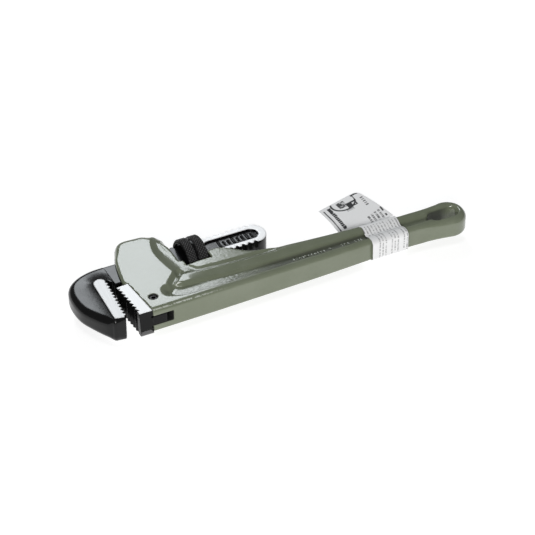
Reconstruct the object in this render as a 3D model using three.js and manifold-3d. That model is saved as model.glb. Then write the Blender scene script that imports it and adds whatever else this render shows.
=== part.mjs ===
// A straight pipe wrench with a cast handle, nominal 10 inch, as separate pieces, in millimetres.
// X runs from the jaws to the hanging slot, Y from the mouth side to the shank side and Z is the thickness.
// The pieces are laid out about the wrench's middle plane, z = 0, with x = 0 at the front of the handle,
// and the whole is then stood on the nut, its lowest point, with the origin under the middle of its box.
import * as THREE from 'three';
import { mergeVertices } from 'three/addons/utils/BufferGeometryUtils.js';
import Module from 'manifold-3d';

const wasm = await Module();
wasm.setup();

// Head and handle casting.
const headHalf = 7.75; // half the thickness over the flat faces of the head
const tailHalf = 6; // half the thickness at the hanging end
const taperStart = 40; // where the handle starts to thin
const plateauHalf = 6.8; // half the thickness of the lower shelf beside the nut
const webHalf = 2.5; // half the thickness of the web between the flanges
const tailX = 199; // centre of the round end
const tailY = 8.3;
const tailRadius = 9.6;
const edgeRound = 1.4; // how far the sides stand out past the flat faces
const headRound = 4.6; // the same round the far side of the head
const headFront = -5; // the flat front of the head round the passage
const passageNear = 31.9; // walls of the passage for the shank
const passageFar = 54.4;
const windowStart = 36; // the nut's window
const windowEnd = 52;
const windowFloor = 31;
const hangSlot = { start: 190.3, end: 200.2, y: 8.2, radius: 4.8 };

// Hook jaw and its threaded shank.
const shankY = 42.6; // the shank's and the nut's axis
const shankHalf = 5.2; // half the shank's thickness
const crest = 9.2; // from the axis to the crests of the thread
const threadDepth = 2; // depth of the teeth as seen on the faces
const threadRoot = 8.85; // radius of the thread's roots about the axis
const pitch = 4;
const shankEnd = 92.3;
const shankCorner = 10.3; // radius that rounds the crests towards the faces
const hookHalf = 7.2; // half the thickness of the hook, and of its ground pad
const padHalf = 7.75;
const hookEnd = -7.7; // the thick part of the hook stops short of the head by the jaw's closing travel
const hookRound = 2.2;
const hookPitch = 3.05; // teeth of the hook jaw
const hookTeeth = 11;
const heelPitch = 3.3; // teeth of the heel jaw
const heelTeeth = 7;
const toothDepth = 1.5;

// Nut, heel pin and springs.
const nut = { start: 38.2, end: 51, radius: 13, groove: 12, bore: 9.25, root: 10.9, chamfer: 1.1 };
const clearance = 0.3;
const ridge = { tip: 0.5, base: 2.4 }; // widths of the nut's thread, along the axis
const slotHalf = 3.25; // half the height of the groove that takes the heel jaw's tongue
const tongueHalf = 2.9;
const threadStart = 3; // where the shank's first groove begins, on its far edge
const threadPhase = threadStart + pitch / 2; // the nut's ridge meets the far edge in the middle of a groove
const pin = { x: 5.6, y: 10.2, radius: 2.1, bore: 1.25, half: 6.9, slit: 0.8 };
const coil = { x: 14, start: 25.1, end: 31.9, radius: 1.9, wire: 0.35, turns: 5, pocket: 2.6 };
const rivet = { x: 28, shaft: 1.2, hole: 2, head: 2.7, headThick: 0.65, end: 60, play: 0.35 };
// The leaf's play lets it rock 2 degrees, and its gap keeps it off the thread.
const leaf = { width: 8, thick: 0.65, start: 1, end: 33, play: 0.4, gap: 0.25 };
const label = { start: 141.5, end: 166.5, near: 0.7, far: 18.9, thick: 0.4, gap: 0.3 };
const flagLow = 3.6; // height of the flag's lower face above the middle plane
const through = 20; // a height well clear of every face, for cuts that go right through
const outside = 90; // and a place beyond the far side of the head

const green = new THREE.Color(0.36, 0.41, 0.33);
const finishes = {
  paint: new THREE.MeshStandardMaterial({ color: green, roughness: 0.3, metalness: 0.2 }),
  black: new THREE.MeshStandardMaterial({ color: 0x111111, roughness: 0.3, metalness: 0.4 }),
  steel: new THREE.MeshStandardMaterial({ color: 0xb8b8b4, roughness: 0.35, metalness: 1 }),
  paper: new THREE.MeshStandardMaterial({ color: 0xf2f2f0, roughness: 0.7, metalness: 0 }),
};

// A closed geometry as a solid that can be joined and cut.
function solid(geometry) {
  const bare = geometry.index ? geometry.toNonIndexed() : geometry.clone();
  for (const name of Object.keys(bare.attributes)) if (name !== 'position') bare.deleteAttribute(name);
  const merged = mergeVertices(bare, 1e-4);
  const index = merged.index.array;
  const kept = [];
  for (let i = 0; i < index.length; i += 3) {
    const [a, b, c] = index.slice(i, i + 3);
    if (a !== b && b !== c && c !== a) kept.push(a, b, c);
  }
  const vertProperties = new Float32Array(merged.attributes.position.array);
  return new wasm.Manifold(new wasm.Mesh({ numProp: 3, vertProperties, triVerts: new Uint32Array(kept) }));
}

function named(name, body, material) {
  const { vertProperties, triVerts } = body.getMesh();
  const geometry = new THREE.BufferGeometry();
  geometry.setAttribute('position', new THREE.BufferAttribute(vertProperties, 3));
  geometry.setIndex(new THREE.BufferAttribute(triVerts, 1));
  geometry.computeVertexNormals();
  const mesh = new THREE.Mesh(geometry, material);
  mesh.name = name;
  return mesh;
}

const corners = (list) => list.map(([x, y]) => new THREE.Vector2(x, y));
const curved = (list, divisions) => new THREE.SplineCurve(corners(list)).getPoints(divisions);

// An outline in X and Y as a plate from one height to another.
function plate(points, low, high) {
  const options = { depth: high - low, bevelEnabled: false };
  return solid(new THREE.ExtrudeGeometry(new THREE.Shape(points), options).translate(0, 0, low));
}

// A plate about the middle plane whose sides swell out by bulge between its flat faces.
function swollen(points, half, bulge, bevel, segments) {
  const options = {
    depth: 2 * (half - bevel), bevelEnabled: true, bevelThickness: bevel, bevelSize: bulge,
    bevelSegments: segments,
  };
  return solid(new THREE.ExtrudeGeometry(new THREE.Shape(points), options).translate(0, 0, bevel - half));
}

function block(x0, x1, y0, y1, z0, z1) {
  const box = new THREE.BoxGeometry(x1 - x0, y1 - y0, z1 - z0);
  return solid(box.translate((x0 + x1) / 2, (y0 + y1) / 2, (z0 + z1) / 2));
}

// A cylinder along Z, and one along the shank's axis.
function drum(x, y, radius, low, high, sides = 32) {
  const round = new THREE.CylinderGeometry(radius, radius, high - low, sides).rotateX(Math.PI / 2);
  return solid(round.translate(x, y, (low + high) / 2));
}

function axle(radius, start, end, sides = 48) {
  const round = new THREE.CylinderGeometry(radius, radius, end - start, sides).rotateZ(Math.PI / 2);
  return solid(round.translate((start + end) / 2, shankY, 0));
}

// A slot with round ends, along X.
function slotPoints(start, end, y, radius, steps = 12) {
  const outline = new THREE.Shape();
  outline.absarc(end, y, radius, -Math.PI / 2, Math.PI / 2, false);
  outline.absarc(start, y, radius, Math.PI / 2, 1.5 * Math.PI, false);
  return outline.getPoints(steps);
}

// Half the handle's thickness at a place along it.
function handleHalf(x) {
  return headHalf - (headHalf - tailHalf) * Math.max(0, (x - taperStart) / (tailX - taperStart));
}

// Handle casting.

function headBlank() {
  const face = curved([[-1.6, 24], [-3.6, 30], [-2.8, 36], [-1.6, 42.4], [-0.3, 48], [1.3, 53], [3.4, 57.6],
    [6.4, 62], [10.5, 64.3], [18, 64.1], [27.7, 63.2], [31.6, 61.6], [33, 57]], 26);
  return swollen([...face, ...corners([[33, 22], [14, 16], [1, 16]])], headHalf, headRound, 5, 3);
}

function barBlank() {
  const far = curved([[62, 34.6], [66.3, 30.8], [72.6, 25.7], [81, 22.8], [96, 20.2], [121, 18.2], [143, 17],
    [167, 15.9], [182, 15.9]], 20);
  const tail = new THREE.Path().absarc(tailX, tailY, tailRadius, 1.9, -1.9, true).getPoints(20);
  const near = curved([[182, 1.9], [168, 2.7], [143, 2.4], [111, 1.4], [66, 0.8], [8, 0.2]], 10);
  const hump = corners([[-1, 0.2], [-1, 26], [30, 34], [53, 36], [57.5, 36.4]]);
  return swollen([...tail, ...near, ...hump, ...far], headHalf, edgeRound, edgeRound, 2);
}

// The two wedges that thin the handle towards its end.
function taperCuts() {
  const run = tailX + 3 * tailRadius;
  const side = corners([[taperStart, headHalf], [run, handleHalf(run)], [run, through],
    [taperStart, through]]);
  const options = { depth: 2 * outside, bevelEnabled: false };
  const wedge = new THREE.ExtrudeGeometry(new THREE.Shape(side), options);
  const upper = solid(wedge.rotateX(Math.PI / 2).translate(0, outside, 0));
  return upper.add(upper.mirror([0, 0, 1]));
}

// Everything that is cut equally into both faces.
function faceCuts() {
  const shelf = corners([[26, 21.9], [33, 21.6], [42, 20.1], [55, 19.2], [66, 18.6], [87, 18.1], [110, 18],
    [112, outside], [31, outside], [31, 66], [27.7, 63], [26.1, 60], [24.5, 56], [23.1, 50.7],
    [22.7, 45.5], [23, 40], [24.1, 33]]);
  const scoop = curved([[26, 13.3], [20, 16.2], [15.4, 17], [12.6, 15], [11.6, 11.6], [12.6, 7.8], [17, 5.2],
    [26, 4.4]], 14);
  const panel = corners([[51, 4], [110, 4.6], [143, 5.4], [172, 6], [176, 7.4], [176, 10.6], [172, 12.2],
    [143, 12.6], [110, 12.2], [80, 11.8], [51, 11.7]]);
  const upper = plate(shelf, plateauHalf, through).add(plate([...scoop, ...panel], webHalf, through));
  return upper.add(upper.mirror([0, 0, 1]));
}

function handleFrame() {
  const passageHalf = shankHalf + clearance;
  const seat = corners([[-through, -through], [0.35, -through], [0.35, -1], [-2.2, 28.6], [-through, 28.6]]);
  const heelSeat = plate(seat, -through, through);
  const front = block(-through, headFront, 20, outside, -through, through);
  const tongueGroove = block(headFront, 12.9, -10, 27, -slotHalf, slotHalf);
  const pinHole = drum(pin.x, pin.y, pin.radius + clearance, -through, through);
  const passage = block(-through, outside, passageNear, passageFar, -passageHalf, passageHalf);
  const channel = block(windowEnd - 1, outside, passageNear, outside, -passageHalf, passageHalf);
  const windowTop = block(windowStart, windowEnd, windowFloor, outside, -through, through);
  const window = windowTop.add(axle(nut.radius + 1, windowStart, windowEnd));
  const hangEdge = slotPoints(hangSlot.start, hangSlot.end, hangSlot.y, hangSlot.radius);
  const hang = plate(hangEdge, -through, through);
  const pocket = solid(new THREE.CylinderGeometry(coil.pocket, coil.pocket, 9, 24).translate(coil.x, 29, 0));
  const rivetBore = rivet.shaft + clearance;
  const rivetDrill = new THREE.CylinderGeometry(rivetBore, rivetBore, 40, 20);
  const rivetHole = solid(rivetDrill.translate(rivet.x, 74, 0));
  let body = headBlank().add(barBlank()).subtract(taperCuts()).subtract(faceCuts());
  const cuts = [heelSeat, front, tongueGroove, pinHole, passage, channel, window, hang, pocket, rivetHole];
  for (const cut of cuts) body = body.subtract(cut);
  return named('handle_frame', body, finishes.paint);
}

// Jaws.

// A row of hooked teeth from a to b, with the tips to the left of that line and roots on it.
function toothRow(a, b, count, depth, lean) {
  const along = new THREE.Vector2().subVectors(b, a);
  const out = new THREE.Vector2(-along.y, along.x).normalize().multiplyScalar(depth);
  const points = [];
  for (let i = 0; i < count; i += 1) {
    points.push(a.clone().addScaledVector(along, i / count));
    points.push(a.clone().addScaledVector(along, (i + lean) / count).add(out));
    points.push(a.clone().addScaledVector(along, (i + lean + 0.12) / count).add(out));
  }
  points.push(b.clone());
  return points;
}

function heelJaw() {
  const near = -1.2;
  const flat = 3.4; // length of the flat land at the near end
  const first = new THREE.Vector2(-6.7, near + flat);
  const last = new THREE.Vector2(-8.2, near + flat + heelPitch * heelTeeth);
  const teeth = toothRow(first, last, heelTeeth, toothDepth, 0.7);
  const back = corners([[-2.4, 27.9], [0.05, near], [-8.1, near], [-8.1, near + flat - 0.01]]);
  const body = plate([...back, ...teeth, ...corners([[-9.7, 25.6], [-9.8, 27.2]])], -padHalf, padHalf);
  const tongue = block(-3, 8.8, near, 24, -tongueHalf, tongueHalf);
  const hole = drum(pin.x, pin.y, pin.radius + clearance, -through, through);
  return named('heel_jaw', body.add(tongue).subtract(hole), finishes.black);
}

// One edge of the shank's thread, as the outline of the metal to cut away, for the far edge or the near one.
function threadCut(side) {
  const shift = side > 0 ? 0 : pitch / 2;
  const points = [new THREE.Vector2(threadStart - 8, shankY + side * through)];
  points.push(new THREE.Vector2(threadStart - 8, shankY + side * crest));
  for (let x = threadStart + shift; x < shankEnd - 8; x += pitch) {
    points.push(new THREE.Vector2(x + 0.6, shankY + side * crest));
    points.push(new THREE.Vector2(x + 1.5, shankY + side * (crest - threadDepth)));
    points.push(new THREE.Vector2(x + 2.5, shankY + side * (crest - threadDepth)));
    points.push(new THREE.Vector2(x + 3.4, shankY + side * crest));
  }
  points.push(new THREE.Vector2(shankEnd + 8, shankY + side * crest));
  points.push(new THREE.Vector2(shankEnd + 8, shankY + side * through));
  if (side < 0) points.reverse();
  const options = { depth: 2 * shankHalf + 2, steps: 1, bevelEnabled: false };
  const geometry = new THREE.ExtrudeGeometry(new THREE.Shape(points), options);
  geometry.translate(0, 0, -shankHalf - 1);
  // The thread's lead leans each groove along X from face to face.
  const lean = (side * pitch) / (2 * Math.PI * crest);
  geometry.applyMatrix4(new THREE.Matrix4().set(1, 0, lean, 0, 0, 1, 0, 0, 0, 0, 1, 0, 0, 0, 0, 1));
  return solid(geometry).subtract(axle(threadRoot, -20, 120, 40));
}

function shankBlank() {
  const slab = plate(slotPoints(-4, shankEnd - crest, shankY, crest, 16), -shankHalf, shankHalf);
  const slot = plate(slotPoints(58, shankEnd - crest - 0.4, shankY, 4.8, 10), shankHalf - 1.4, through);
  const rounded = slab.intersect(axle(shankCorner, -20, 100, 40));
  const slotted = rounded.subtract(slot).subtract(slot.mirror([0, 0, 1]));
  return slotted.subtract(threadCut(1)).subtract(threadCut(-1));
}

function hookJaw() {
  const outer = curved([[1, 50], [-8, 49.6], [-17, 48.6], [-25, 45.2], [-30.6, 40.4], [-33.4, 33],
    [-33.2, 22], [-30.2, 12.5], [-26, 5], [-21.5, 1.2]], 22);
  const inner = corners([[-12, 1.2], [-8, 20], [-7, 35.6], [1, 35.6]]);
  const blank = swollen([...outer, ...inner], hookHalf, hookRound, 4.6, 3);
  const pad = plate([...corners([[-15.2, 1.2], [-21.4, 2.4], [-21.6, 5], [-20.2, 35.5]]),
    ...curved([[-19, 37.8], [-16.3, 39], [-13.6, 37.8]], 6), ...corners([[-12.4, 34.5], [-9, 30], [-9, 6]])],
  hookHalf - 2, padHalf);
  // The biting line leans away from the heel jaw towards the tip.
  const tip = new THREE.Vector2(-16.2, 1.6);
  const throat = new THREE.Vector2(-13.6, 1.6 + hookPitch * hookTeeth);
  const cut = [new THREE.Vector2(tip.x, -through), ...toothRow(tip, throat, hookTeeth, -toothDepth, 0.3),
    new THREE.Vector2(-11.6, 36.4), new THREE.Vector2(-9.4, 33.9), new THREE.Vector2(6, 33.9),
    new THREE.Vector2(6, -through)];
  const mouth = plate(cut, -through, through);
  const tipCut = block(-40, 10, -through, -0.8, -through, through);
  const head = blank.add(pad).add(pad.mirror([0, 0, 1])).subtract(mouth).subtract(tipCut);
  const behindHead = block(hookEnd, through, 0, outside, -through, through);
  const neck = head.subtract(behindHead);
  return named('hook_jaw', neck.add(shankBlank()), finishes.black);
}

// Nut.

// A rod whose single thread turns once a pitch: one lobed section, turned layer by layer along the axis.
function threadRod(start, end) {
  const sides = 28;
  const stepsPerTurn = 14;
  const layers = Math.round(((end - start) / pitch) * stepsPerTurn);
  const crestShare = 1 - ridge.base / pitch; // where the rod is full
  const rootShare = ridge.tip / pitch; // where the nut's ridge reaches deepest
  const flank = (1 - crestShare - rootShare) / 2;
  const radiusAt = (turn) => {
    const t = Math.min(turn, 1 - turn) - rootShare / 2;
    return nut.bore + (nut.root - nut.bore) * Math.min(1, Math.max(0, t / flank));
  };
  const section = [];
  for (let i = 0; i < sides; i += 1) {
    const angle = (2 * Math.PI * i) / sides;
    const radius = radiusAt(i / sides);
    section.push(new THREE.Vector2(radius * Math.cos(angle), radius * Math.sin(angle)));
  }
  const options = { depth: end - start, steps: layers, bevelEnabled: false };
  const rod = new THREE.ExtrudeGeometry(new THREE.Shape(section), options);
  const place = rod.attributes.position;
  for (let i = 0; i < place.count; i += 1) {
    const along = start + place.getZ(i);
    const turn = (2 * Math.PI * (along - threadPhase)) / pitch;
    const x = place.getX(i);
    const y = place.getY(i);
    place.setXYZ(i, along, x * Math.cos(turn) - y * Math.sin(turn), x * Math.sin(turn) + y * Math.cos(turn));
  }
  return solid(rod.translate(0, shankY, 0));
}

function adjustingNut() {
  const middle = (nut.start + nut.end) / 2;
  const { start, end, radius, groove, chamfer } = nut;
  const profile = corners([[0, start], [radius - chamfer, start], [radius, start + chamfer],
    [radius, middle - 1.3], [groove, middle - 0.8], [groove, middle + 0.8], [radius, middle + 1.3],
    [radius, end - chamfer], [radius - chamfer, end], [0, end]]);
  const turned = new THREE.LatheGeometry(profile, 48).rotateZ(-Math.PI / 2).translate(0, shankY, 0);
  const bore = threadRod(nut.start - 2, nut.end + 2);
  return named('adjusting_nut', solid(turned).subtract(bore), finishes.black);
}

// Pin and springs.

function heelPin() {
  const rod = drum(pin.x, pin.y, pin.radius, -pin.half, pin.half, 24);
  const bore = drum(pin.x, pin.y, pin.bore, -through, through, 24);
  const slit = block(pin.x, pin.x + 5, pin.y - pin.slit / 2, pin.y + pin.slit / 2, -through, through);
  return named('heel_jaw_pin', rod.subtract(bore).subtract(slit), finishes.steel);
}

function coilSpring() {
  class Helix extends THREE.Curve {
    getPoint(t, target = new THREE.Vector3()) {
      const turn = 2 * Math.PI * coil.turns * t;
      const along = coil.start + coil.wire + (coil.end - coil.start - 2 * coil.wire) * t;
      return target.set(coil.x + coil.radius * Math.cos(turn), along, coil.radius * Math.sin(turn));
    }
  }
  const wire = new THREE.Shape().absarc(0, 0, coil.wire, 0, 2 * Math.PI, false);
  const section = new THREE.Shape(wire.getPoints(3).slice(0, -1));
  const options = { steps: coil.turns * 11, extrudePath: new Helix(), bevelEnabled: false };
  return named('coil_spring', solid(new THREE.ExtrudeGeometry(section, options)), finishes.steel);
}

function leafSpring() {
  const low = shankY + crest + leaf.gap; // the side towards the shank
  const high = passageFar - leaf.play - leaf.thick;
  const side = curved([[leaf.start, low + 0.35], [leaf.start + 4, low], [14, low + 0.1], [22, high - 0.25],
    [25, high], [leaf.end, high]], 20);
  const outline = [...side, ...side.map((p) => new THREE.Vector2(p.x, p.y + leaf.thick)).reverse()];
  const strip = plate(outline, -leaf.width / 2, leaf.width / 2);
  const hole = solid(new THREE.CylinderGeometry(rivet.hole, rivet.hole, 40, 24).translate(rivet.x, 60, 0));
  return named('flat_spring', strip.subtract(hole), finishes.steel);
}

function springRivet() {
  const under = passageFar - leaf.play - leaf.thick - rivet.play; // the head clears the leaf as it rocks
  const profile = corners([[0, under - rivet.headThick], [rivet.head * 0.8, under - rivet.headThick],
    [rivet.head, under - rivet.headThick * 0.4], [rivet.head, under], [rivet.shaft, under],
    [rivet.shaft, rivet.end], [0, rivet.end]]);
  const turned = new THREE.LatheGeometry(profile, 24).translate(rivet.x, 0, 0);
  return named('spring_rivet', solid(turned), finishes.steel);
}

// Paper label: a band round the handle and a doubled flag beyond its far edge.

function paperLabel() {
  const { start, end, near, far, thick } = label;
  const half = handleHalf(start) + label.gap;
  const outer = block(start, end, near - thick, far + thick, -half - thick, half + thick);
  const inner = block(start - 1, end + 1, near, far, -half, half);
  const flag = plate(corners([[start - 8.8, far], [start - 8.8, 48.5], [start + 14.5, 50.5],
    [start + 18, 48.8], [end, far]]), flagLow, flagLow + 2 * thick);
  return named('paper_label', outer.subtract(inner).add(flag), finishes.paper);
}

const pieces = [handleFrame(), hookJaw(), heelJaw(), heelPin(), adjustingNut(), coilSpring(), leafSpring(),
  springRivet(), paperLabel()];
const wrench = new THREE.Group();
wrench.add(...pieces);
const box = new THREE.Box3().setFromObject(wrench);
const middle = box.getCenter(new THREE.Vector3());
wrench.position.set(-middle.x, -middle.y, -box.min.z);

export default wrench;
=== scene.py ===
import math
import bpy
import numpy as np
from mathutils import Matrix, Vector


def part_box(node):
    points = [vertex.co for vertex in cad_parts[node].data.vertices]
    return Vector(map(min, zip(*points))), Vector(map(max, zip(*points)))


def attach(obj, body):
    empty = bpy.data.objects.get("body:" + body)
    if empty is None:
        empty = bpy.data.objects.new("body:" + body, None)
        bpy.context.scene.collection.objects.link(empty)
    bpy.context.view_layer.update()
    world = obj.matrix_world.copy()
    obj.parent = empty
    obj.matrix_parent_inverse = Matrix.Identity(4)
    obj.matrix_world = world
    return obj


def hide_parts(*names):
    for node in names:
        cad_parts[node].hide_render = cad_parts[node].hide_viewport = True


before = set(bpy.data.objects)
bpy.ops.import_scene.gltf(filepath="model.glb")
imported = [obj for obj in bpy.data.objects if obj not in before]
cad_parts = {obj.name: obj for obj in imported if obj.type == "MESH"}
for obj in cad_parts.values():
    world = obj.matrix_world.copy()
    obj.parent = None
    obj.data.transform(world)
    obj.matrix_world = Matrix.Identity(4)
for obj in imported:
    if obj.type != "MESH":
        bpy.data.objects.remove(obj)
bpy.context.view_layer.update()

# The wrench is worked out in millimetres on the bench: x = 0 at the front of the handle,
# z = 0 in its middle plane, and y runs from the mouth side to the shank's side.
bench = {
    "pin": (5.6, 10.2, 2.4),    # the heel jaw's pin: its place and the hole's radius
    "axisY": 42.6,       # the nut's and the shank's axis
    "nutMiddle": 44.6,   # middle of the nut along that axis
    "headHalf": 7.75,    # half the thickness over the head
    "tailHalf": 6.4,     # and at the hanging end
    "taperStart": 40.0,
    "tailX": 199.0,
}
nutLow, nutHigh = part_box("adjusting_nut")
shift = np.array((nutLow + nutHigh) / 2) * 1000 - np.array([bench["nutMiddle"], bench["axisY"], 0.0])


def toRow(points):    # bench millimetres to the frame's metres
    return (np.asarray(points, float) + shift) / 1000


# ---- camera

camera = {"place": (-342.9, -816.2, 702.4), "azimuth": 27.0, "elevation": 37.0, "lens": 134.58}


def makeCamera():
    data = bpy.data.cameras.new("camera")
    data.lens, data.sensor_width = camera["lens"], 36.0
    data.clip_start, data.clip_end = 0.05, 20
    item = bpy.data.objects.new("camera", data)
    turn, tilt = math.radians(camera["azimuth"]), math.radians(camera["elevation"])
    look = Vector((math.sin(turn) * math.cos(tilt), math.cos(turn) * math.cos(tilt), -math.sin(tilt)))
    item.location = toRow(camera["place"])
    item.rotation_mode = "QUATERNION"
    item.rotation_quaternion = look.to_track_quat("-Z", "Y")
    bpy.context.scene.collection.objects.link(item)
    bpy.context.scene.camera = item


makeCamera()
print("camera placed")


# ---- shapes as distance fields: negative inside, in millimetres

def smooth(t):    # rises from 0 to 1 with level ends
    t = np.clip(t, 0, 1)
    return t * t * (3 - 2 * t)


def blendMax(a, b, k):    # the larger of two fields, with the corner between them rounded over k
    h = np.maximum(k - np.abs(a - b), 0) / k
    return np.maximum(a, b) + h * h * k / 4


def blendMin(a, b, k):
    return -blendMax(-a, -b, k)


def edgeRound(side, face, r):    # side and face distances meet in a round edge of radius r
    a, b = side + r, face + r
    return np.minimum(np.maximum(a, b), 0) + np.hypot(np.maximum(a, 0), np.maximum(b, 0)) - r


def curve(points, each=8):    # a Catmull-Rom curve through the points, without its last point
    p = np.array(points, float)
    q = np.vstack([2 * p[0] - p[1], p, 2 * p[-1] - p[-2]])
    t = np.linspace(0, 1, each, endpoint=False)[None, :, None]
    a, b, c, d = (q[i:len(q) - 3 + i, None, :] for i in range(4))
    path = 0.5 * (2 * b + (c - a) * t + (2 * a - 5 * b + 4 * c - d) * t ** 2 + (3 * b - a - 3 * c + d) * t ** 3)
    return path.reshape(-1, 2)


def arc(x, y, r, fromAngle, toAngle, steps=24):
    a = np.radians(np.linspace(fromAngle, toAngle, steps))
    return np.column_stack([x + r * np.cos(a), y + r * np.sin(a)])


def outline(*parts):
    return np.vstack([np.array(p, float).reshape(-1, 2) for p in parts])


def planDistance(x, y, ring):    # signed distance to a closed outline: nearest edge, sign from the edges crossed
    x, y = np.broadcast_arrays(x, y)
    best, inside = np.full(x.shape, 1e9), np.zeros(x.shape, bool)
    for (ax, ay), (bx, by) in zip(ring, np.roll(ring, -1, axis=0)):
        ex, ey = bx - ax, by - ay
        t = np.clip(((x - ax) * ex + (y - ay) * ey) / max(ex * ex + ey * ey, 1e-12), 0, 1)
        best = np.minimum(best, (x - ax - ex * t) ** 2 + (y - ay - ey * t) ** 2)
        if ay != by:
            inside ^= ((ay > y) != (by > y)) & (x < ax + ex * (y - ay) / ey)
    return np.where(inside, -1, 1) * np.sqrt(best)


def boxDistance(x, y, z, low, high):
    gaps = [np.maximum(l - v, v - h) for v, l, h in zip((x, y, z), low, high)]
    return np.maximum(np.maximum(gaps[0], gaps[1]), gaps[2])


def slotDistance(x, y, start, end, middle, r):
    return np.hypot(x - np.clip(x, start, end), y - middle) - r


def skin(field, low, high, step):
    # The zero surface of a field: one vertex in each grid cell that it crosses, at the mean of the crossings
    # on the cell's edges, one quad round each crossed edge, then two steps along the slope onto the surface.
    axes = [np.arange(l, h + step, step) for l, h in zip(low, high)]
    value = field(axes[0][:, None, None], axes[1][None, :, None], axes[2][None, None, :])
    value = np.broadcast_to(value, [len(a) for a in axes]).astype(np.float32)
    solid = value < 0
    cells = tuple(n - 1 for n in value.shape)
    total, count = np.zeros(cells + (3,), np.float32), np.zeros(cells, np.float32)
    crossed = []
    for axis in range(3):
        a = [slice(None)] * 3
        b = [slice(None)] * 3
        a[axis], b[axis] = slice(None, -1), slice(1, None)
        va, vb = value[tuple(a)], value[tuple(b)]
        cut = solid[tuple(a)] != solid[tuple(b)]
        part = np.where(cut, va / np.where(va == vb, 1, va - vb), 0)
        crossed.append((cut, solid[tuple(a)]))
        others = [i for i in range(3) if i != axis]
        for da in (0, 1):
            for db in (0, 1):
                pick = [slice(None)] * 3
                for other, d in zip(others, (da, db)):
                    pick[other] = slice(d, cells[other] + d)
                hit = cut[tuple(pick)]
                count += hit
                total[..., axis] += np.where(hit, part[tuple(pick)], 0)
                total[..., others[0]] += hit * da
                total[..., others[1]] += hit * db
    used = count > 0
    number = np.full(cells, -1, np.int64)
    number[used] = np.arange(used.sum())
    index = np.argwhere(used)
    points = (index + total[used] / count[used][:, None]) * step + np.array([a[0] for a in axes])
    faces = []
    for axis in range(3):
        cut, fromSolid = crossed[axis]
        u, v = (axis + 1) % 3, (axis + 2) % 3
        at = np.argwhere(cut)
        at = at[(at[:, u] > 0) & (at[:, v] > 0) & (at[:, u] < cells[u]) & (at[:, v] < cells[v])]
        around = []
        for du, dv in ((1, 1), (0, 1), (0, 0), (1, 0)):
            cell = at.copy()
            cell[:, u] -= du
            cell[:, v] -= dv
            around.append(number[tuple(cell.T)])
        quad = np.stack(around, 1)
        ways = fromSolid[tuple(at.T)]
        faces.append(np.where(ways[:, None], quad, quad[:, ::-1]))
    for _ in range(2):
        here = field(*points.T)
        slope = [field(*(points + d).T) - field(*(points - d).T) for d in np.eye(3) * 0.02]
        slope = np.stack(slope, 1) / 0.04
        move = (here / np.maximum((slope ** 2).sum(1), 0.15))[:, None] * slope
        points = points - np.clip(move, -0.3 * step, 0.3 * step)
    return points, np.vstack(faces)


def gridFaces(rows, columns, wrapRows=False, wrapColumns=False):    # the four corners of each cell of a grid
    i, j = np.meshgrid(np.arange(rows - (not wrapRows)), np.arange(columns - (not wrapColumns)), indexing="ij")
    nextRow, nextColumn = (i + 1) % rows, (j + 1) % columns
    corners = [i * columns + j, i * columns + nextColumn, nextRow * columns + nextColumn, nextRow * columns + j]
    return np.stack(corners, -1).reshape(-1, 4)


def paintPoints(item, name, values):    # one number for each point, which a material reads by this name
    layer = item.data.attributes.new(name, "FLOAT", "POINT")
    layer.data.foreach_set("value", np.asarray(values, np.float32).ravel())


def makePiece(name, points, faces, body, replaced=(), crease=38):
    mesh = bpy.data.meshes.new(name)
    mesh.from_pydata(toRow(points).tolist(), [], faces if isinstance(faces, list) else faces.tolist())
    mesh.validate()
    mesh.shade_smooth()
    mesh.set_sharp_from_angle(angle=math.radians(crease))
    item = bpy.data.objects.new(name, mesh)
    bpy.context.scene.collection.objects.link(item)
    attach(item, body)
    if replaced:
        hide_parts(*replaced)
    return item


# ---- shader groups shared by the finishes

def newGroup(name, inputs, outputs):
    group = bpy.data.node_groups.new(name, "ShaderNodeTree")
    for title, value in inputs:
        socket = group.interface.new_socket(title, in_out="INPUT", socket_type="NodeSocketFloat")
        socket.default_value = value
    for title in outputs:
        group.interface.new_socket(title, in_out="OUTPUT", socket_type="NodeSocketFloat")
    return group, group.nodes.new("NodeGroupInput"), group.nodes.new("NodeGroupOutput")


def node(tree, kind, values=(), **settings):
    made = tree.nodes.new(kind)
    for key, value in settings.items():
        setattr(made, key, value)
    for key, value in dict(values).items():
        made.inputs[key].default_value = value
    return made


def mathNode(tree, operation, a, b=0.0, c=None):
    made = node(tree, "ShaderNodeMath", operation=operation)
    for i, value in enumerate((a, b) if c is None else (a, b, c)):
        if hasattr(value, "links"):
            tree.links.new(value, made.inputs[i])
        else:
            made.inputs[i].default_value = value
    return made.outputs[0]


def rangeNode(tree, value, low, high):    # rises smoothly from 0 at low to 1 at high
    made = node(tree, "ShaderNodeMapRange", {"From Min": low, "From Max": high}, interpolation_type="SMOOTHSTEP")
    tree.links.new(value, made.inputs["Value"])
    return made.outputs["Result"]


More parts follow.
